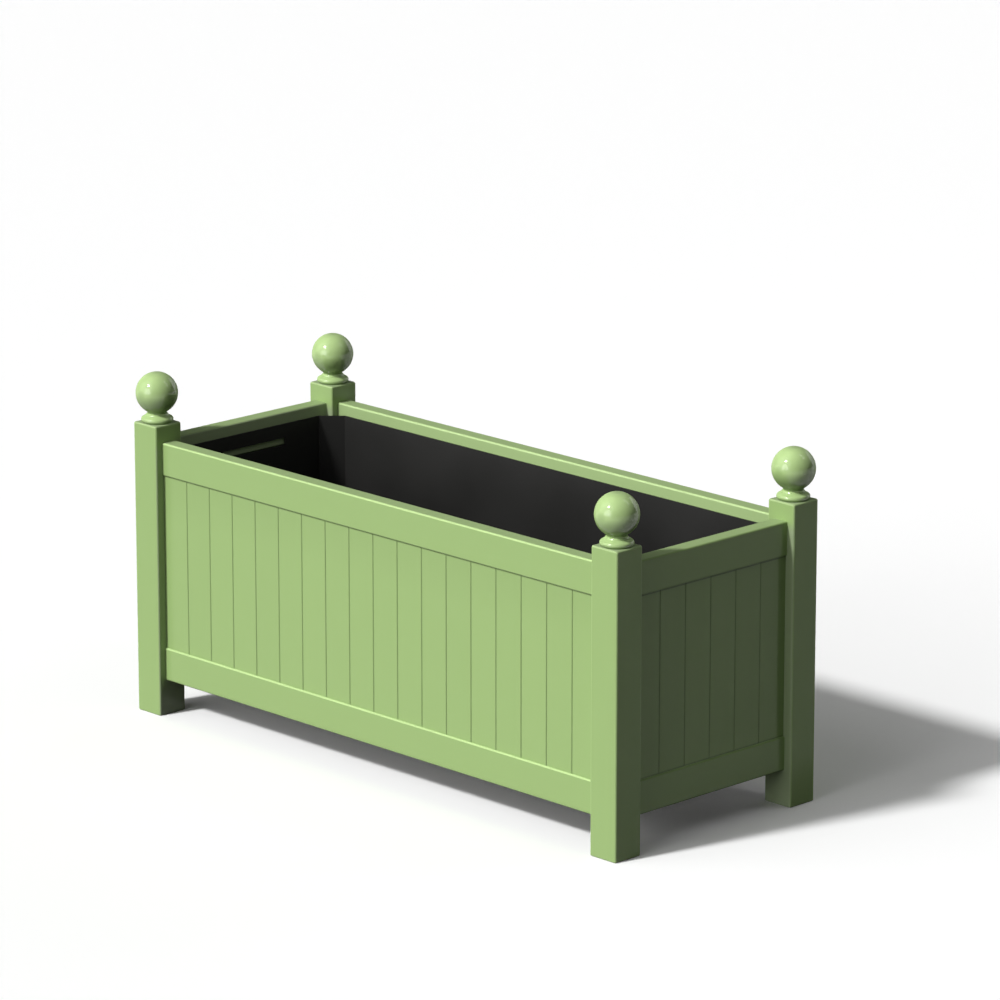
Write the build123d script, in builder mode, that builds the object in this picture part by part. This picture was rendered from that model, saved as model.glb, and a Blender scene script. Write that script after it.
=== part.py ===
from build123d import *
import os
from collections import namedtuple
from math import acos, degrees, radians, sin, sqrt

# A long Versailles planter: a painted timber frame of four posts, eight rails and V-jointed boarding,
# a turned ball finial on each post, a slatted base, and a loose liner that lifts out by two slots.
# The origin is on the ground at the planter's centre: X runs along it, Y from front to back, Z up.

# ---- Driving dimensions, in millimetres ----

# Overall, over the faces of the posts
length = 1500.0
width = 600.0

# Posts
post_size = 75.0
post_height = 664.0
post_edge_radius = 5.0
post_top_radius = 4.0
post_foot_chamfer = 2.0

# Rails
rail_height = 75.0
rail_thickness = 38.0
rail_edge_radius = 4.0
top_rail_drop = 39.0  # top of the top rails below the top of the posts
ground_clearance = 80.0  # underside of the bottom rails above the ground

# Mortise and tenon joints
tenon_thickness = 12.0
tenon_web = 2.0  # timber between the two tenons that meet in a post
tenon_haunch = 5.0  # rail between the board groove and the tenon
glue_gap = 0.2

# Tongued and grooved boarding
long_board_count = 18
end_board_count = 6
board_thickness = 15.0
board_setback = 4.0  # board face behind the rail face
board_gap = 0.6  # open joint between two boards
board_vee = 1.3  # leg of the V cut on each board's face edge
tongue_length = 6.0
tongue_thickness = 5.0
tongue_gap = 0.4
rail_groove_depth = 10.0
post_groove_depth = 8.0
groove_gap = 0.3  # at each face of the boarding
swelling_gap = 1.0  # above the boarding and beside its outer edges

# Base
bearer_depth = 30.0
bearer_height = 35.0
bearer_lift = 5.0  # underside of a bearer above the underside of its rail
bearer_end_gap = 1.0
slat_count = 7
slat_width = 95.0
slat_thickness = 18.0
slat_gap = 1.0  # between a slat's ends and the rails
base_edge_radius = 2.0

# Screws
screw_shank_dia = 4.5
screw_head_dia = 9.0
screw_head_angle = 90.0
screw_recess_width = 2.6
screw_recess_depth = 1.8
screw_gap = 0.15  # around a screw in its hole
bearer_screw_bite = 24.0  # in the rail
slat_screw_bite = 27.0  # in the bearer
slat_screw_spacing = 50.0

# Liner
liner_wall = 3.0
liner_rail_gap = 2.5
liner_post_gap = 8.0
liner_drop = 25.0  # rim below the top of the rails
liner_fold_radius = 4.0
liner_floor_radius = 8.0
slot_length = 188.0
slot_height = 17.0
slot_drop = 32.0  # top of a slot below the rim
drain_dia = 15.0
drain_spacing = 240.0  # between the two rows of drain holes

# Finials
bead_dia = 71.4
bead_round = 6.6
bead_seat_angle = 70.0  # how far the bead curls under, below its widest line
bead_crown_angle = 50.0  # how far it rolls over, above its widest line
ovolo_dia = 50.5
ovolo_round = 5.2
ovolo_rise = 8.8  # centre of the ovolo above the centre of the bead
ovolo_start_angle = 10.0
ovolo_end_angle = 75.0
throat_height = 5.8
throat_hollow = 0.9
neck_dia = 50.0  # where the throat meets the ball
ball_dia = 93.8
stud_dia = 10.0
stud_length = 80.0
stud_gap = 0.2

# ---- Derived sizes and heights ----

top_rail_foot = post_height - top_rail_drop - rail_height
bottom_rail_top = ground_clearance + rail_height
rail_middle = post_size / 2
rail_face = rail_middle - rail_thickness / 2
rail_inner = rail_middle + rail_thickness / 2
tenon_length = post_size - rail_middle - tenon_thickness / 2 - tenon_web
tenon_inset = rail_groove_depth + tenon_haunch
tenon_height = rail_height - 2 * tenon_inset

board_face = rail_face + board_setback
board_middle = board_face + board_thickness / 2
board_foot = bottom_rail_top - rail_groove_depth
board_top = top_rail_foot + rail_groove_depth - swelling_gap
board_housing = board_thickness + 2 * groove_gap

bearer_foot = ground_clearance + bearer_lift
bearer_top = bearer_foot + bearer_height
bearer_length = length - 2 * post_size - 2 * bearer_end_gap
slat_top = bearer_top + slat_thickness
slat_length = width - 2 * rail_inner - 2 * slat_gap
slat_pitch = (bearer_length - slat_width) / (slat_count - 1)
bearer_line = width / 2 - rail_inner - bearer_depth / 2

screw_head_depth = (screw_head_dia - screw_shank_dia) / 2
screw_hole_radius = screw_shank_dia / 2 + screw_gap
screw_sink_radius = screw_head_dia / 2 + screw_gap

liner_rim = post_height - top_rail_drop - liner_drop
liner_height = liner_rim - slat_top
liner_inset = rail_inner + liner_rail_gap
liner_length = length - 2 * liner_inset
liner_width = width - 2 * liner_inset
liner_corner = 2 * post_size + sqrt(2) * liner_post_gap - 2 * liner_inset
slot_middle = liner_rim - slot_drop - slot_height / 2

# One record per side: its name, the corner at its left-hand end, the plane on its post faces at ground
# level (X along the side, Y into the planter, Z up), its length and the number of its boards.
Side = namedtuple("Side", "name corner plane span clear boards")


def side(name, corner, turn, span, depth, boards):
    plane = Plane(Location((0, 0, 0), (0, 0, turn)) * Location((0, -depth / 2, 0)))
    return Side(name, corner, plane, span, span - 2 * post_size, boards)


sides = [
    side("front", "front_left", 0, length, width, long_board_count),
    side("right", "front_right", 90, width, length, end_board_count),
    side("back", "back_right", 180, length, width, long_board_count),
    side("left", "back_left", 270, width, length, end_board_count),
]
long_sides = [sides[0], sides[2]]
end_sides = [sides[1], sides[3]]


def lifted(plane, height):
    """The side plane moved up to a height."""
    return plane.offset(height)


def facing_in(plane, depth, height):
    """A plane at a depth and height behind a side's post faces, facing into the planter with Y up."""
    return Plane(plane.from_local_coords((0, depth, height)), x_dir=-plane.x_dir, z_dir=plane.y_dir)


def save(part, name):
    part.label = name
    export_step(part, f"parts/{name}.step")


os.makedirs("parts", exist_ok=True)

# ---- Posts: square, rounded, with two mortises and a board groove in each inner face ----

for edge in sides:
    corner = -edge.span / 2
    along_face = Plane(
        edge.plane.from_local_coords((corner + post_size, 0, 0)),
        x_dir=edge.plane.y_dir,
        z_dir=edge.plane.x_dir,
    )
    inward_face = Plane(
        edge.plane.from_local_coords((corner, post_size, 0)),
        x_dir=-edge.plane.x_dir,
        z_dir=edge.plane.y_dir,
    )
    with BuildPart() as post:
        with BuildSketch(edge.plane):
            with Locations((corner + post_size / 2, post_size / 2)):
                RectangleRounded(post_size, post_size, post_edge_radius)
        extrude(amount=post_height)
        fillet(post.faces().sort_by(Axis.Z)[-1].edges(), post_top_radius)
        chamfer(post.faces().sort_by(Axis.Z)[0].edges(), post_foot_chamfer)
        for face, across in ((along_face, 1), (inward_face, -1)):
            with BuildSketch(face):
                for foot in (top_rail_foot, ground_clearance):
                    with Locations((across * rail_middle, foot + rail_height / 2)):
                        Rectangle(tenon_thickness + 2 * glue_gap, tenon_height + 2 * glue_gap)
            extrude(amount=-tenon_length - glue_gap, mode=Mode.SUBTRACT)
            with BuildSketch(face):
                with Locations((across * board_middle, (board_foot + board_top) / 2)):
                    Rectangle(board_housing, board_top - board_foot + 2 * groove_gap)
            extrude(amount=-post_groove_depth, mode=Mode.SUBTRACT)
        with BuildSketch(lifted(edge.plane, post_height)):
            with Locations((corner + post_size / 2, post_size / 2)):
                Circle(stud_dia / 2 + stud_gap)
        extrude(amount=-stud_length / 2 - stud_gap, mode=Mode.SUBTRACT)
    save(post.part, f"{edge.corner}_post")

# ---- Rails: long edges rounded, ends square, tenoned into the posts and grooved for the boarding ----

for edge in sides:
    for level, foot, groove_foot in (
        ("top", top_rail_foot, top_rail_foot),
        ("bottom", ground_clearance, bottom_rail_top - rail_groove_depth),
    ):
        with BuildPart() as rail:
            with BuildSketch(lifted(edge.plane, foot)):
                with Locations((0, rail_middle)):
                    Rectangle(edge.clear, rail_thickness)
            extrude(amount=rail_height)
            fillet(rail.edges().filter_by(Axis((0, 0, 0), edge.plane.x_dir)), rail_edge_radius)
            with BuildSketch(lifted(edge.plane, foot + tenon_inset)):
                with Locations((0, rail_middle)):
                    Rectangle(edge.clear + 2 * tenon_length, tenon_thickness)
            extrude(amount=tenon_height)
            with BuildSketch(lifted(edge.plane, groove_foot)):
                with Locations((0, board_middle)):
                    Rectangle(edge.clear, board_housing)
            extrude(amount=rail_groove_depth, mode=Mode.SUBTRACT)
            if level == "bottom" and edge in long_sides:
                with BuildSketch(facing_in(edge.plane, rail_inner, bearer_foot + bearer_height / 2)):
                    with GridLocations(slat_pitch, 0, slat_count - 1, 1):
                        Circle(screw_hole_radius)
                extrude(amount=-bearer_screw_bite - screw_gap, mode=Mode.SUBTRACT)
        save(rail.part, f"{level}_{edge.name}_rail")

# ---- Boarding: upright boards, tongued and grooved, with a V at every joint ----


def board_section(edge, number):
    """Section of one board seen from above: its face lies along X, and its outer edges, where it has
    a neighbour, carry a groove on the left and a tongue on the right."""
    pitch = edge.clear / edge.boards
    first, last = number == 0, number == edge.boards - 1
    housed = post_groove_depth - swelling_gap
    left = -edge.clear / 2 + number * pitch + (-housed if first else board_gap / 2)
    right = -edge.clear / 2 + (number + 1) * pitch + (housed if last else -board_gap / 2)
    groove_depth = tongue_length - board_gap + tongue_gap
    with BuildSketch() as section:
        with Locations(((left + right) / 2, board_thickness / 2)):
            Rectangle(right - left, board_thickness)
        if not first:
            with Locations((left + groove_depth / 2, board_thickness / 2)):
                Rectangle(groove_depth, tongue_thickness + 2 * tongue_gap, mode=Mode.SUBTRACT)
            with Locations((left, 0)):
                Rectangle(sqrt(2) * board_vee, sqrt(2) * board_vee, rotation=45, mode=Mode.SUBTRACT)
        if not last:
            with Locations((right + tongue_length / 2, board_thickness / 2)):
                Rectangle(tongue_length, tongue_thickness)
            with Locations((right, 0)):
                Rectangle(sqrt(2) * board_vee, sqrt(2) * board_vee, rotation=45, mode=Mode.SUBTRACT)
    return section.sketch


def board_plane(edge):
    return Plane(edge.plane.from_local_coords((0, board_face, board_foot)), x_dir=edge.plane.x_dir)


for edge in long_sides:
    with BuildPart() as boards:
        with BuildSketch(board_plane(edge)):
            for number in range(edge.boards):
                add(board_section(edge, number))
        extrude(amount=board_top - board_foot)
    save(boards.part, f"{edge.name}_boards")

for edge in end_sides:
    for number in range(edge.boards):
        with BuildPart() as board:
            with BuildSketch(board_plane(edge)):
                add(board_section(edge, number))
            extrude(amount=board_top - board_foot)
        save(board.part, f"{edge.name}_board_{number + 1}")

# ---- Base: a bearer screwed to each long bottom rail, and slats screwed across the bearers ----

slat_centres = [(number - (slat_count - 1) / 2) * slat_pitch for number in range(slat_count)]
slat_screws_at = [
    (centre + offset, line)
    for centre in slat_centres
    for offset in (-slat_screw_spacing / 2, slat_screw_spacing / 2)
    for line in (-bearer_line, bearer_line)
]

for edge in long_sides:
    with BuildPart() as bearer:
        with BuildSketch(lifted(edge.plane, bearer_foot)):
            with Locations((0, rail_inner + bearer_depth / 2)):
                Rectangle(bearer_length, bearer_depth)
        extrude(amount=bearer_height)
        fillet(bearer.edges().filter_by(Axis.X), base_edge_radius)
        with Locations(facing_in(edge.plane, rail_inner + bearer_depth, bearer_foot + bearer_height / 2)):
            with GridLocations(slat_pitch, 0, slat_count - 1, 1):
                CounterSinkHole(
                    screw_hole_radius, screw_sink_radius, bearer_depth, screw_head_angle
                )
        with BuildSketch(Plane.XY.offset(bearer_top)):
            with Locations(*slat_screws_at):
                Circle(screw_hole_radius)
        extrude(amount=-slat_screw_bite - screw_gap, mode=Mode.SUBTRACT)
    save(bearer.part, f"{edge.name}_bearer")

for number, centre in enumerate(slat_centres):
    with BuildPart() as slat:
        with BuildSketch(Plane.XY.offset(bearer_top)):
            with Locations((centre, 0)):
                Rectangle(slat_width, slat_length)
        extrude(amount=slat_thickness)
        fillet(slat.edges().filter_by(Axis.Y), base_edge_radius)
        with Locations((centre, 0, slat_top)):
            with GridLocations(slat_screw_spacing, 2 * bearer_line, 2, 2):
                CounterSinkHole(
                    screw_hole_radius, screw_sink_radius, slat_thickness, screw_head_angle
                )
    save(slat.part, f"base_slat_{number + 1}")


def wood_screw(shank_length):
    """A countersunk screw along -Z, with the face of its head at the origin and a square recess. Its
    point is as long as its shank is thick."""
    with BuildPart() as screw:
        with BuildSketch(Plane.XZ):
            with BuildLine():
                Polyline(
                    (0, 0),
                    (screw_head_dia / 2, 0),
                    (screw_shank_dia / 2, -screw_head_depth),
                    (screw_shank_dia / 2, screw_shank_dia - shank_length),
                    (0, -shank_length),
                    close=True,
                )
            make_face()
        revolve(axis=Axis.Z)
        with BuildSketch():
            Rectangle(screw_recess_width, screw_recess_width)
        extrude(amount=-screw_recess_depth, mode=Mode.SUBTRACT)
    return screw.part


with BuildPart() as slat_screws:
    with Locations(*[(x, y, slat_top) for x, y in slat_screws_at]):
        add(wood_screw(slat_thickness + slat_screw_bite))
save(slat_screws.part, "slat_screws")

with BuildPart() as bearer_screws:
    for edge in long_sides:
        with Locations(facing_in(edge.plane, rail_inner + bearer_depth, bearer_foot + bearer_height / 2)):
            with GridLocations(slat_pitch, 0, slat_count - 1, 1):
                add(wood_screw(bearer_depth + bearer_screw_bite))
save(bearer_screws.part, "bearer_screws")

# ---- Liner: a moulded tub with cut-off corners, a lifting slot in each end and a drained floor ----

with BuildPart() as liner:
    with BuildSketch(Plane.XY.offset(slat_top)) as plan:
        Rectangle(liner_length, liner_width)
        chamfer(plan.vertices(), liner_corner)
    extrude(amount=liner_height)
    fillet(liner.edges().filter_by(Axis.Z), liner_fold_radius)
    fillet(liner.faces().sort_by(Axis.Z)[0].edges(), liner_floor_radius)
    offset(amount=-liner_wall, openings=liner.faces().sort_by(Axis.Z)[-1])
    with BuildSketch(Plane.YZ):
        with Locations((0, slot_middle)):
            Rectangle(slot_length, slot_height)
    extrude(amount=liner_length / 2, both=True, mode=Mode.SUBTRACT)
    with BuildSketch(Plane.XY.offset(slat_top)):
        with GridLocations(slat_pitch, drain_spacing, slat_count - 1, 2):
            Circle(drain_dia / 2)
    extrude(amount=liner_wall, mode=Mode.SUBTRACT)
save(liner.part, "liner")

# ---- Finials: turned in one piece, a bead and an ovolo under a ball, each held by a stud ----

bead_centre = (bead_dia / 2 - bead_round, bead_round * sin(radians(bead_seat_angle)))
ovolo_centre = (ovolo_dia / 2 - ovolo_round, bead_centre[1] + ovolo_rise)
neck_rise = ovolo_centre[1] + ovolo_round * sin(radians(ovolo_end_angle)) + throat_height
neck_angle = degrees(acos(neck_dia / ball_dia))
ball_rise = neck_rise + ball_dia / 2 * sin(radians(neck_angle))

for edge in sides:
    middle = edge.plane.from_local_coords(((post_size - edge.span) / 2, post_size / 2, post_height))
    upright = Plane(middle, x_dir=edge.plane.x_dir, z_dir=-edge.plane.y_dir)
    with BuildPart() as finial:
        with BuildSketch(upright):
            with BuildLine():
                bead = CenterArc(
                    bead_centre, bead_round, -bead_seat_angle, bead_seat_angle + bead_crown_angle
                )
                ovolo = CenterArc(
                    ovolo_centre, ovolo_round, ovolo_start_angle, ovolo_end_angle - ovolo_start_angle
                )
                ball = CenterArc((0, ball_rise), ball_dia / 2, -neck_angle, 90 + neck_angle)
                Line(bead @ 1, ovolo @ 0)
                SagittaArc(ovolo @ 1, ball @ 0, throat_hollow)
                Polyline(bead @ 0, (0, 0), ball @ 1)
            make_face()
        revolve(axis=Axis(middle, (0, 0, 1)))
        with BuildSketch(Plane(middle)):
            Circle(stud_dia / 2 + stud_gap)
        extrude(amount=stud_length / 2 + stud_gap, mode=Mode.SUBTRACT)
    save(finial.part, f"{edge.corner}_finial")

with BuildPart() as studs:
    with Locations(Location((0, 0, post_height))):
        with GridLocations(length - post_size, width - post_size, 2, 2):
            Cylinder(stud_dia / 2, stud_length)
save(studs.part, "finial_studs")
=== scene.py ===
from math import cos, radians, sin

import bmesh
import bpy
from mathutils import Matrix, Vector

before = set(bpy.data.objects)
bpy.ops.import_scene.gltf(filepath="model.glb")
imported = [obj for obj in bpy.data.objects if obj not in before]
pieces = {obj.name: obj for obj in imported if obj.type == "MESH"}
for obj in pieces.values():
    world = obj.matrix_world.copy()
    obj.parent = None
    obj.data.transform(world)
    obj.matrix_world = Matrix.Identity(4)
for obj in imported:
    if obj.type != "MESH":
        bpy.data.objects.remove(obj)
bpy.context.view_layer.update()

# ---- Studio ----
# A wide white paper floor in a faint grey room. A small hard lamp high at the front throws the
# shadow, a narrow and a broad lamp low beside it fill the front, weak ones behind and above lift
# the rest, and a thin strip lamp draws a streak on the balls. A long lens looks down a little.

lens_length, film_width = 203.04, 36.0  # in millimetres
lens_place = (8.4619, -8.1216, 3.7242)
lens_tilt, lens_turn = 15.041, 45.829  # down from level, and round from the front, in degrees
lens_reach = 300.0  # in metres, as all lengths from here on
lamps = {
    # how far round the planter each lamp stands, how high, how far its light spreads, its strength
    "key_lamp": (-103.0, 42.3, 6.0, 2.88),
    "front_lamp": (-95.0, 10.0, 36.0, 1.14),
    "wide_front_lamp": (-109.0, 18.0, 84.0, 1.38),
    "back_lamp": (90.0, 12.0, 40.0, 0.52),
    "left_lamp": (-135.0, 68.0, 34.0, 0.06),
}
strip_ends = ((49.0, 66.0), (37.0, 43.0))  # how far round the planter each end hangs, how high
strip_distance, strip_width, strip_power = 6.0, 0.22, 15.0
room_grey = (0.095, 0.095, 0.095)
floor_reach = 80.0
floor_white = 1.0  # as the floor is seen, straight or in a reflection
floor_bounce = 0.03  # as it throws light back at the planter


def put(tree, kind, inputs=(), **settings):
    """A node with its settings, and each input either linked or given a value."""
    node = tree.nodes.new(kind)
    for setting, value in settings.items():
        setattr(node, setting, value)
    for socket, value in dict(inputs).items():
        if isinstance(value, bpy.types.NodeSocket):
            tree.links.new(value, node.inputs[socket])
        else:
            node.inputs[socket].default_value = value
    return node


def sums(tree, operation, *values):
    """One step of arithmetic."""
    return put(tree, "ShaderNodeMath", enumerate(values), operation=operation).outputs["Value"]


def strongest(tree, value, *others):
    """The highest of several values."""
    for other in others:
        value = sums(tree, "MAXIMUM", value, other)
    return value


def rescale(tree, value, from_low, from_high, to_low=0.0, to_high=1.0):
    """A value carried from one range to another, and held inside it."""
    inputs = {"Value": value, "From Min": from_low, "From Max": from_high}
    inputs |= {"To Min": to_low, "To Max": to_high}
    return put(tree, "ShaderNodeMapRange", inputs).outputs["Result"]


def show(name, data):
    """An object of the scene, for a camera, a lamp or a mesh."""
    thing = bpy.data.objects.new(name, data)
    bpy.context.scene.collection.objects.link(thing)
    return thing


def toward(turn, height):
    """The direction of a place round the planter and above it, both in degrees."""
    level = cos(radians(height))
    return Vector((level * cos(radians(turn)), level * sin(radians(turn)), sin(radians(height))))


camera = show("camera", bpy.data.cameras.new("camera"))
camera.data.sensor_width = film_width
camera.data.lens = lens_length
camera.data.clip_end = lens_reach
camera.location = lens_place
camera.rotation_euler = (radians(90 - lens_tilt), 0, radians(lens_turn))
bpy.context.scene.camera = camera

for name, (turn, height, spread, strength) in lamps.items():
    lamp = show(name, bpy.data.lights.new(name, "SUN"))
    lamp.data.energy = strength
    lamp.data.angle = radians(spread)
    lamp.rotation_euler = (radians(90 - height), 0, radians(turn + 90))

first_end, last_end = (strip_distance * toward(*end) for end in strip_ends)
along, away = (last_end - first_end), (first_end + last_end) / 2
strip = show("strip_lamp", bpy.data.lights.new("strip_lamp", "AREA"))
strip.data.shape = "RECTANGLE"
strip.data.size, strip.data.size_y = strip_width, along.length
strip.data.energy = strip_power
y_axis, z_axis = along.normalized(), away.normalized()
strip_axes = Matrix((y_axis.cross(z_axis), y_axis, z_axis)).transposed()
strip.matrix_world = Matrix.Translation(away) @ strip_axes.to_4x4()

room = bpy.data.worlds.new("room")
room.use_nodes = True
room.node_tree.nodes["Background"].inputs["Color"].default_value = (*room_grey, 1)
bpy.context.scene.world = room

ground = bmesh.new()
bmesh.ops.create_grid(ground, x_segments=1, y_segments=1, size=floor_reach)
floor_mesh = bpy.data.meshes.new("floor")
ground.to_mesh(floor_mesh)
ground.free()
floor = show("floor", floor_mesh)

floor_paper = bpy.data.materials.new("floor_paper")
floor_paper.use_nodes = True
sheet = floor_paper.node_tree
sheet.nodes.clear()
seen_by = put(sheet, "ShaderNodeLightPath").outputs
seen = strongest(sheet, *(seen_by[f"Is {ray} Ray"] for ray in ("Camera", "Glossy", "Transmission")))
floor_tone = rescale(sheet, seen, 0.0, 1.0, floor_bounce, floor_white)
matt = put(sheet, "ShaderNodeBsdfDiffuse", {"Color": floor_tone})
put(sheet, "ShaderNodeOutputMaterial", {"Surface": matt.outputs["BSDF"]})
floor_mesh.materials.append(floor_paper)

bpy.context.scene.view_settings.view_transform = "Standard"

# ---- Posts ----
# Four square posts of planed softwood, each in one piece from foot to cap, with eased long edges
# and a rounded cap. They are brushed with satin green paint along their length. Their edges and
# upward slopes carry a painted highlight, and painted shade in a greyer green lies beside the
# rails and on the caps.

paint_green = (0.276, 0.398, 0.151)
# The next four colours are painted light and shade: a paler green for the painted highlight, a
# darker one for painted shade, a greyer one for the painted shade on the posts, and a pale grey for
# a painted sheen on level tops and a pale painted light on inward faces.
highlight_green = (0.435, 0.597, 0.256)
shade_green = (0.166, 0.239, 0.091)
grey_shade_green = (0.30, 0.33, 0.25)
pale_light_grey = (0.46, 0.46, 0.43)
brushed_contrast = 0.025  # how far a thick coat is lighter, and a thin one darker, than the mean
timber_share = 0.4  # of each timber's own tone in the tone of its paint
paint_film = 0.00005  # depth of the brush marks
paint_ior, paint_specular = 1.2, 0.3
satin_smoothest, satin_roughest = 0.40, 0.52
satin_gloss, satin_gloss_roughness = 0.3, 0.05
gloss_fade = (0.42, 0.75)  # the gloss dies away between these, from face on at 0 to edge on at 1
edge_highlight = 0.45  # how strong the painted highlight is on the edges of a piece
upright = (0, 0, 0)  # turns that bring the length of a piece to Z
along_x = (0, radians(90), 0)
along_y = (radians(90), 0, 0)
# parts of a noise's range that are stretched over the whole, for soft, middling or hard contrast
soft_span, middling_span, hard_span = (0.2, 0.8), (0.3, 0.7), (0.35, 0.65)


def effect(name, takes, gives):
    """An empty node group, the sockets that it takes, and the node that gives its results."""
    tree = bpy.data.node_groups.new(name, "ShaderNodeTree")
    for label, kind, value in takes:
        socket = tree.interface.new_socket(label, in_out="INPUT", socket_type=kind)
        socket.default_value = value
    for label in gives:
        tree.interface.new_socket(label, in_out="OUTPUT", socket_type="NodeSocketFloat")
    return tree, tree.nodes.new("NodeGroupInput").outputs, tree.nodes.new("NodeGroupOutput")


def give(tree, out, **results):
    """The results of a group, linked to the node that gives them."""
    for label, value in results.items():
        tree.links.new(value, out.inputs[label])


def surface(name):
    """A new material, and its tree."""
    material = bpy.data.materials.new(name)
    material.use_nodes = True
    return material, material.node_tree


def cover(tree, colour, roughness, height, depth):
    """Colour, roughness and relief on the one shader of a material, and the shader's sockets."""
    relief = put(tree, "ShaderNodeBump", {"Distance": depth, "Height": height})
    shader = tree.nodes["Principled BSDF"].inputs
    tree.links.new(colour, shader["Base Color"])
    tree.links.new(roughness, shader["Roughness"])
    tree.links.new(relief.outputs["Normal"], shader["Normal"])
    return shader


def place_on(tree):
    """Where a point of the surface is, in metres from the middle of the planter's foot."""
    return put(tree, "ShaderNodeTexCoord").outputs["Object"]


def measures(tree):
    """That place as X, Y and Z."""
    return put(tree, "ShaderNodeSeparateXYZ", {"Vector": place_on(tree)}).outputs


def lengthwise(tree, turn):
    """That place, turned so that the length of a piece runs along Z."""
    inputs = {"Vector": place_on(tree), "Rotation": turn}
    return put(tree, "ShaderNodeMapping", inputs).outputs["Vector"]


def noise(tree, place, scale, detail=2.0, stretch=(1, 1, 1), distortion=0.0):
    """A soft random value, with its pattern drawn out along an axis by a small stretch there."""
    drawn = put(tree, "ShaderNodeMapping", {"Vector": place, "Scale": stretch}).outputs["Vector"]
    inputs = {"Vector": drawn, "Scale": scale, "Detail": detail, "Distortion": distortion}
    return put(tree, "ShaderNodeTexNoise", inputs).outputs[0]


def blend_of(tree, *shares):
    """Values added up, each times its share."""
    total = 0.0
    for value, share in shares:
        total = sums(tree, "MULTIPLY_ADD", value, share, total)
    return total


def steps(tree, value, *stops):
    """A level that runs through the stops, each a value from 0 to 1 and its level."""
    band = put(tree, "ShaderNodeValToRGB", {"Fac": value})
    elements = band.color_ramp.elements
    while len(elements) < len(stops):
        elements.new(0.5)
    for element, (place, level) in zip(elements, stops):
        element.position = place
        element.color = (level, level, level, 1)
    return band.outputs["Color"]


def mix(tree, share, first, second):
    """Two colours mixed by a share. The node's sockets are told apart by number only."""
    share_socket, first_socket, second_socket, result_socket = 0, 6, 7, 2
    inputs = {share_socket: share}
    for socket, colour in ((first_socket, first), (second_socket, second)):
        inputs[socket] = (*colour, 1) if isinstance(colour, tuple) else colour
    return put(tree, "ShaderNodeMix", inputs, data_type="RGBA").outputs[result_socket]


def lightened(colour, change):
    """A colour made lighter by a share of itself, or darker by a negative one."""
    return tuple(part * (1 + change) for part in colour)


# Brush strokes run along Z of the place that the group takes. The grain of the timber shows
# through them, and the coat is a little thicker in some places than in others.
brush_marks, taken, given = effect(
    "brush_marks",
    takes=(
        ("Place", "NodeSocketVector", (0, 0, 0)),
        ("Smoothest", "NodeSocketFloat", satin_smoothest),
        ("Roughest", "NodeSocketFloat", satin_roughest),
    ),
    gives=("Tone", "Roughness", "Height"),
)
strokes, whole = taken["Place"], place_on(brush_marks)
bristles = noise(brush_marks, strokes, scale=650.0, stretch=(1, 1, 0.03))
grain = noise(brush_marks, strokes, scale=95.0, detail=3.0, stretch=(1, 1, 0.05), distortion=0.4)
coats = noise(brush_marks, whole, scale=7.0)
peel = noise(brush_marks, whole, scale=420.0, detail=1.0)
dullness = blend_of(brush_marks, (coats, 0.5), (bristles, 0.5))
roughness = (taken["Smoothest"], taken["Roughest"])
give(
    brush_marks,
    given,
    Tone=blend_of(brush_marks, (coats, 0.45), (grain, 0.35), (bristles, 0.20)),
    Roughness=rescale(brush_marks, dullness, *middling_span, *roughness),
    Height=blend_of(brush_marks, (bristles, 0.45), (grain, 0.40), (peel, 0.15)),
)

# Painted light and shade go by a surface's slope, which is 0 where it faces straight down, 0.5
# where it is upright and 1 where it faces straight up: a painted highlight on upward slopes and
# arrises, painted shade on downward faces, and a painted sheen on level tops. An arris, where one
# face turns into the next, points along none of the axes.
# The levels, by slope, of the painted highlight, the painted shade and the painted sheen.
highlight_steps = ((0.5, 0), (0.665, 0.12), (0.83, 0.30), (0.925, 0.32), (1.0, 0.05))
shade_steps = ((0.0, 0.75), (0.25, 0.57), (0.375, 0.36), (0.5, 0.0))
sheen_steps = ((0.96, 0.0), (1.0, 0.11))
arris_starts = 0.96  # a surface that points less than this along its nearest axis is an arris
arris_lift = (-0.4, 0.0)  # an arris takes its painted highlight between these, from facing down at -1 to level at 0
patches = (0.85, 1.15)  # least and most of the painted highlight and the painted sheen, from place to place

light_by_slope, taken, given = effect(
    "light_by_slope",
    takes=(
        ("Exposure", "NodeSocketFloat", 0.0),
        ("Edge highlight", "NodeSocketFloat", edge_highlight),
    ),
    gives=("Faded", "Sheltered", "Dusty"),
)
outlook = put(light_by_slope, "ShaderNodeTexCoord").outputs
facing = put(light_by_slope, "ShaderNodeSeparateXYZ", {"Vector": outlook["Normal"]}).outputs
slope = rescale(light_by_slope, facing["Z"], -1.0, 1.0)
squareness = strongest(light_by_slope, *(sums(light_by_slope, "ABSOLUTE", facing[axis]) for axis in "XYZ"))
arris = sums(
    light_by_slope,
    "MULTIPLY",
    rescale(light_by_slope, squareness, arris_starts, 1.0, 1.0, 0.0),
    rescale(light_by_slope, facing["Z"], *arris_lift),
)
blotches = noise(light_by_slope, outlook["Object"], scale=30.0)
patchy = rescale(light_by_slope, blotches, *soft_span, *patches)
# The painted highlight: by slope, on arrises, and a given amount more all over.
highlighted = blend_of(
    light_by_slope,
    (steps(light_by_slope, slope, *highlight_steps), 1.0),
    (sums(light_by_slope, "MULTIPLY", arris, taken["Edge highlight"]), 1.0),
    (taken["Exposure"], 1.0),
)
give(
    light_by_slope,
    given,
    Faded=sums(light_by_slope, "MULTIPLY", highlighted, patchy),
    Sheltered=steps(light_by_slope, slope, *shade_steps),
    Dusty=sums(light_by_slope, "MULTIPLY", steps(light_by_slope, slope, *sheen_steps), patchy),
)


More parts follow.
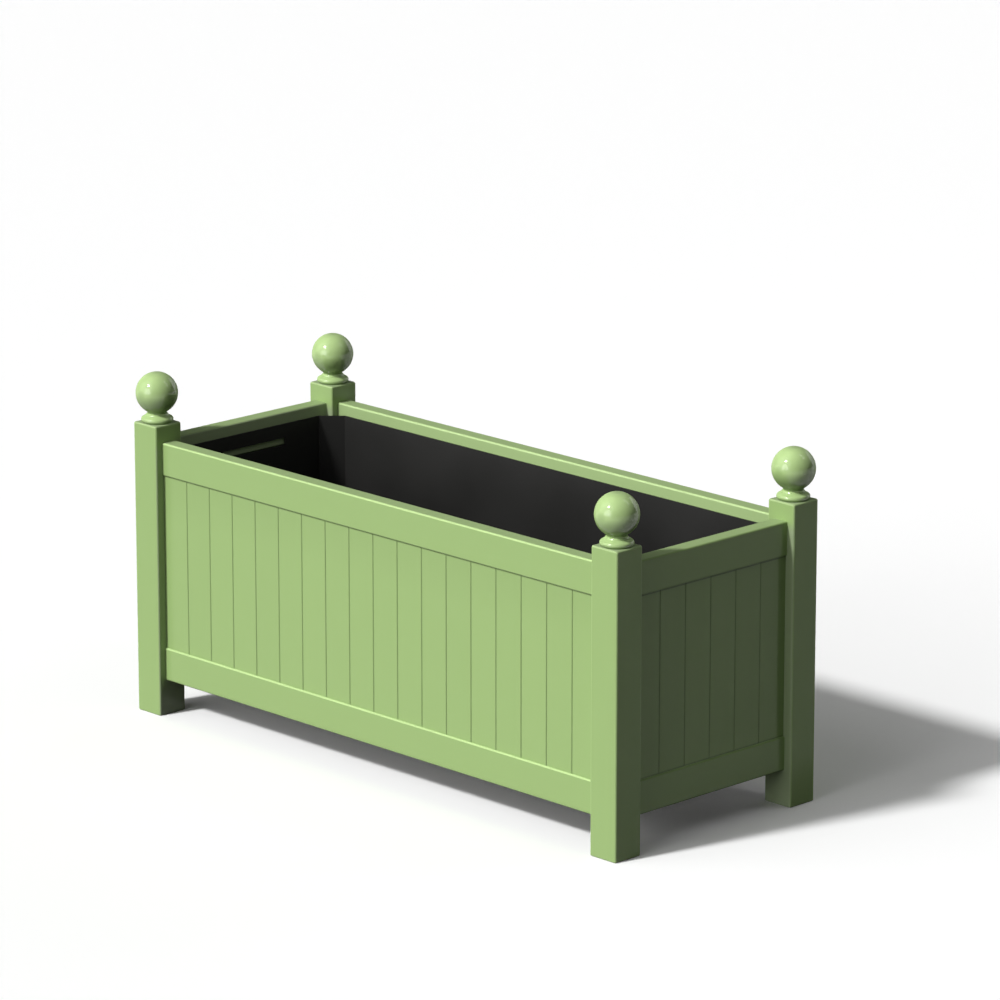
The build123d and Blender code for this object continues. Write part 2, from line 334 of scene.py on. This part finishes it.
def painted(
    name,
    turn=upright,
    strokes=None,
    tone_of=None,
    shade_at=None,
    shade=shade_green,
    pale_light_on=None,
    edge_lightening=edge_highlight,
    extra_light=0.0,
    film=paint_film,
    gloss=satin_gloss,
    gloss_roughness=satin_gloss_roughness,
):
    """Satin green paint, brushed along the piece, with a painted highlight on upward slopes and
    edges, painted shade on downward faces and a painted sheen on level tops. A piece may bring
    strokes of its own, the tone of each of its timbers, places with more painted shade and the
    colour that shade takes, and faces with a pale painted light."""
    paint, tree = surface(name)
    place = strokes(tree) if strokes else lengthwise(tree, turn)
    brushed = put(tree, "ShaderNodeGroup", {"Place": place}, node_tree=brush_marks).outputs
    light_amounts = {"Exposure": extra_light, "Edge highlight": edge_lightening}
    light_masks = put(tree, "ShaderNodeGroup", light_amounts, node_tree=light_by_slope).outputs

    tone, shade_mask, pale_light = brushed["Tone"], light_masks["Sheltered"], light_masks["Dusty"]
    if tone_of:
        tone = blend_of(tree, (tone, 1 - timber_share), (tone_of(tree), timber_share))
    if shade_at:
        shade_mask = strongest(tree, shade_mask, shade_at(tree))
    if pale_light_on:
        pale_light = strongest(tree, pale_light, pale_light_on(tree))
    thin_coat = lightened(paint_green, -brushed_contrast)
    thick_coat = lightened(paint_green, brushed_contrast)
    coat = mix(tree, tone, thin_coat, thick_coat)
    # Painted light on the coat: paler in the painted highlight, darker in painted shade, and paler
    # again in the painted sheen and the pale painted light.
    coat = mix(tree, light_masks["Faded"], coat, highlight_green)
    coat = mix(tree, shade_mask, coat, shade)
    coat = mix(tree, pale_light, coat, pale_light_grey)

    shader = cover(tree, coat, brushed["Roughness"], brushed["Height"], film)
    shader["IOR"].default_value = paint_ior
    shader["Specular IOR Level"].default_value = paint_specular
    edge_on = put(tree, "ShaderNodeLayerWeight").outputs["Facing"]
    tree.links.new(rescale(tree, edge_on, *gloss_fade, gloss, 0.0), shader["Coat Weight"])
    shader["Coat Roughness"].default_value = gloss_roughness
    return paint


def dress(material, *names):
    """The material in the slots of the named solids."""
    for name in names:
        for slot in pieces[name].material_slots:
            slot.material = material


corners = ("front_left", "front_right", "back_right", "back_left")
inner_faces = {"X": 0.675, "Y": 0.225}  # how far those of the posts stand from the middle
rails_top = 0.625
cap_height, cap_rounding = 0.660, 0.003
reveal_edge = (0.0005, 0.003)  # painted shade is full and gone, out from an inner face
reveal_end = 0.02  # painted shade starts to thin out, below the tops of the rails
reveal_shade, cap_shade = 0.55, 0.25
post_edge_highlight = 0.30


def post_painted_shade(tree):
    """Painted shade on the faces that look at rails and boards, up to the rails, and a little on
    caps.
    """
    where = measures(tree)
    reveals = []
    for axis, face in inner_faces.items():
        full, gone = (face + out for out in reveal_edge)
        from_middle = sums(tree, "ABSOLUTE", where[axis])
        reveals.append(rescale(tree, from_middle, full, gone, reveal_shade, 0.0))
    beside_rails = rescale(tree, where["Z"], rails_top - reveal_end, rails_top, 1.0, 0.0)
    reveal = sums(tree, "MULTIPLY", strongest(tree, *reveals), beside_rails)
    cap = rescale(tree, where["Z"], cap_height, cap_height + cap_rounding, 0.0, cap_shade)
    return strongest(tree, reveal, cap)


dress(
    painted("post_paint", shade_at=post_painted_shade, shade=grey_shade_green, edge_lightening=post_edge_highlight),
    *(f"{corner}_post" for corner in corners),
)

# ---- Rails ----
# A top and a bottom rail on each side, planed softwood with rounded long edges, tenoned into the
# posts and grooved for the boarding. The paint is brushed along each rail. The edges of the long
# ones carry a strong painted highlight, those of the end ones less, and the faces that look inward
# a pale painted light.

inner_edge = 0.003  # out from the inner face of a rail, over which its pale painted light thins out
rail_finishes = {
    # turn, painted highlight on the edges, which takes away from the slope's highlight where it is
    # below 0, axis and place of the inner faces, pale painted light on them, and sides
    "long_rail_paint": (along_x, 0.85, "Y", 0.244, 0.10, ("front", "back")),
    "end_rail_paint": (along_y, -0.3, "X", 0.694, 0.30, ("right", "left")),
}


def inner_pale_light(axis, face, share):
    """A pale painted light on the faces that look into the planter."""

    # the pale painted light, by distance from the inner face
    def dust(tree):
        from_middle = sums(tree, "ABSOLUTE", measures(tree)[axis])
        return rescale(tree, from_middle, face, face + inner_edge, share, 0.0)

    return dust


for name, (turn, edge_lightening, axis, face, share, sides) in rail_finishes.items():
    dress(
        painted(name, turn, pale_light_on=inner_pale_light(axis, face, share), edge_lightening=edge_lightening),
        *(f"{level}_{side}_rail" for level in ("top", "bottom") for side in sides),
    )

# ---- Boarding ----
# Upright tongued and grooved boards, 75 mm to the pitch, with a small V at every joint. They are
# housed in grooves of rails and posts. Each board takes the paint a little differently. The joints
# are darkened for dirt and for the shade in the V, painted shade darkens the boards along the
# rails, and a painted shadow lies under the top rail.

board_pitch = 0.075
boarding_top, boarding_foot = 0.550, 0.155
joint_edge = (0.0012, 0.0022)  # dirt and painted shade are full and gone, out from the middle of a joint
joint_shade = 0.55
rail_edge = (0.0015, 0.0040)  # painted shade is full and gone, out from a rail
rail_shadow, rail_shadow_drop = 0.14, 0.10  # how dark the painted shadow under the top rail is, and how far down it reaches


def boarding(name, axis, top_shade, foot_shade):
    """Paint for boards that stand side by side along an axis, from one post to the other, and how
    dark the painted shade is where they meet the top rail and the bottom rail."""

    def boards_along(tree):
        first_edge = -inner_faces[axis]
        from_post = sums(tree, "SUBTRACT", measures(tree)[axis], first_edge)
        return sums(tree, "DIVIDE", from_post, board_pitch)

    def board_tone(tree):
        inputs = {"W": sums(tree, "FLOOR", boards_along(tree))}
        return put(tree, "ShaderNodeTexWhiteNoise", inputs, noise_dimensions="1D").outputs["Value"]

    # Dirt and painted shade in the joints, painted shade along the rails, and a painted shadow
    # under the top rail.
    def dirt_and_painted_shade(tree):
        height = measures(tree)["Z"]
        boards_from_joint = sums(tree, "PINGPONG", boards_along(tree), 0.5)
        from_joint = sums(tree, "MULTIPLY", boards_from_joint, board_pitch)
        below_rail = sums(tree, "SUBTRACT", boarding_top, height)
        above_rail = sums(tree, "SUBTRACT", height, boarding_foot)
        return strongest(
            tree,
            rescale(tree, from_joint, *joint_edge, joint_shade, 0.0),
            rescale(tree, below_rail, *rail_edge, top_shade, 0.0),
            rescale(tree, above_rail, *rail_edge, foot_shade, 0.0),
            rescale(tree, below_rail, 0.0, rail_shadow_drop, rail_shadow, 0.0),
        )

    return painted(name, shade_at=dirt_and_painted_shade, tone_of=board_tone)


dress(
    boarding("long_board_paint", "X", top_shade=0.75, foot_shade=0.1),
    "front_boards",
    "back_boards",
)
dress(
    boarding("end_board_paint", "Y", top_shade=1.0, foot_shade=0.75),
    *(f"{side}_board_{number}" for side in ("right", "left") for number in range(1, 7)),
)

# ---- Finials ----
# A ball over a bead and an ovolo, turned from one block and held to each post by a hidden stud.
# The paint was brushed on while the work turned, so its marks are shallow and run round it. It is
# the glossiest of all, and carries a little more painted highlight all over.

finial_axis = {"X": 0.7125, "Y": 0.2625}  # how far each one's own axis stands from the middle
# how much more painted highlight the finials carry all over
finial_extra_light = 0.08
finial_film = 0.000005
finial_gloss, finial_gloss_roughness = 1.0, 0.10


def turned(tree):
    """Distance from the nearest finial's own axis, and height: the marks then run round it."""
    where = measures(tree)
    squares = []
    for axis, middle in finial_axis.items():
        off_axis = sums(tree, "SUBTRACT", sums(tree, "ABSOLUTE", where[axis]), middle)
        squares.append(sums(tree, "MULTIPLY", off_axis, off_axis))
    radius = sums(tree, "SQRT", sums(tree, "ADD", *squares))
    return put(tree, "ShaderNodeCombineXYZ", {"X": radius, "Y": where["Z"]}).outputs["Vector"]


dress(
    painted(
        "finial_paint",
        strokes=turned,
        extra_light=finial_extra_light,
        film=finial_film,
        gloss=finial_gloss,
        gloss_roughness=finial_gloss_roughness,
    ),
    *(f"{corner}_finial" for corner in corners),
)

# ---- Base ----
# Two bearers screwed to the long bottom rails, and seven slats across them that carry the liner.
# They are sawn softwood, pressure-treated to a dull greenish brown and left unpainted.

early_wood = (0.36, 0.29, 0.15)
late_wood = (0.20, 0.15, 0.07)
treatment = (0.19, 0.20, 0.09)
treatment_shares = (0.15, 0.50)  # least and most of its colour in the wood
early_roughness, late_roughness = 0.85, 0.65
saw_marks = 0.0003  # depth
log_heart = (0.02, -0.05, 0)  # outside the timber, so that the rings cross it in arcs

# The grain runs along Z of the place that the group takes, and saw teeth leave faint ridges
# across it.
sawn_grain, taken, given = effect(
    "sawn_grain",
    takes=(("Place", "NodeSocketVector", (0, 0, 0)),),
    gives=("Rings", "Stain", "Height"),
)
place = taken["Place"]
log = {"Vector": place, "Location": log_heart, "Scale": (1, 1, 0.04)}
from_heart = put(sawn_grain, "ShaderNodeMapping", log).outputs["Vector"]
rings = put(
    sawn_grain,
    "ShaderNodeTexWave",
    {"Vector": from_heart, "Scale": 70.0, "Distortion": 3.0, "Detail": 2.0, "Detail Scale": 0.6},
    wave_type="RINGS",
    rings_direction="Z",
).outputs["Fac"]
fibres = noise(sawn_grain, place, scale=900.0, detail=3.0, stretch=(1, 1, 0.03))
ridges = noise(sawn_grain, place, scale=420.0, detail=1.0, stretch=(0.05, 0.05, 1))
stain = noise(sawn_grain, place, scale=12.0, detail=3.0)
give(
    sawn_grain,
    given,
    Rings=blend_of(sawn_grain, (rings, 0.65), (fibres, 0.35)),
    Stain=rescale(sawn_grain, stain, *middling_span),
    Height=blend_of(sawn_grain, (fibres, 0.5), (ridges, 0.3), (rings, 0.2)),
)


def sawn(name, turn):
    """Treated softwood, sawn along its length."""
    wood, tree = surface(name)
    inputs = {"Place": lengthwise(tree, turn)}
    grained = put(tree, "ShaderNodeGroup", inputs, node_tree=sawn_grain).outputs
    bare = mix(tree, grained["Rings"], early_wood, late_wood)
    stained = rescale(tree, grained["Stain"], 0.0, 1.0, *treatment_shares)
    roughness = rescale(tree, grained["Rings"], 0.0, 1.0, early_roughness, late_roughness)
    cover(tree, mix(tree, stained, bare, treatment), roughness, grained["Height"], saw_marks)
    return wood


dress(sawn("bearer_timber", along_x), "front_bearer", "back_bearer")
dress(sawn("slat_timber", along_y), *(f"base_slat_{number}" for number in range(1, 8)))

# ---- Screws and studs ----
# Countersunk wood screws with a square recess hold slats to bearers and bearers to rails, and a
# plain stud holds each finial. All are steel, zinc plated, with the plating's fine mottling and a
# dull bloom.

bright_zinc, bright_roughness = (0.58, 0.60, 0.61), 0.25
dull_zinc, dull_roughness = (0.36, 0.37, 0.37), 0.50
mottling_depth = 0.00004

zinc, tree = surface("zinc_plate")
place = place_on(tree)
inputs = {"Vector": place, "Scale": 900.0}
mottling = put(tree, "ShaderNodeTexVoronoi", inputs).outputs["Distance"]
bloom = rescale(tree, noise(tree, place, scale=160.0, detail=3.0), *hard_span)
dullness = blend_of(tree, (bloom, 0.7), (mottling, 0.3))
colour = mix(tree, dullness, bright_zinc, dull_zinc)
roughness = rescale(tree, dullness, 0.0, 1.0, bright_roughness, dull_roughness)
shader = cover(tree, colour, roughness, mottling, mottling_depth)
shader["Metallic"].default_value = 1.0
dress(zinc, "slat_screws", "bearer_screws", "finial_studs")

# ---- Liner ----
# A loose tub with cut-off corners, moulded in black plastic. It stands on the slats and lifts out
# by a slot in each end wall. The mould gives it a fine grain, and a little dust lies on it.

plastic_black, plastic_roughness = (0.0086, 0.0084, 0.0078), 0.46
dusty_black, dusty_roughness = (0.0128, 0.0124, 0.0114), 0.60
mould_depth = 0.00008

plastic, tree = surface("moulded_black")
place = place_on(tree)
mould_grain = noise(tree, place, scale=1100.0)
dust_in_patches = rescale(tree, noise(tree, place, scale=5.0), *middling_span)
dust_in_grain = rescale(tree, mould_grain, *hard_span)
dust = blend_of(tree, (dust_in_patches, 0.6), (dust_in_grain, 0.4))
colour = mix(tree, dust, plastic_black, dusty_black)
roughness = rescale(tree, dust, 0.0, 1.0, plastic_roughness, dusty_roughness)
cover(tree, colour, roughness, mould_grain, mould_depth)
dress(plastic, "liner")
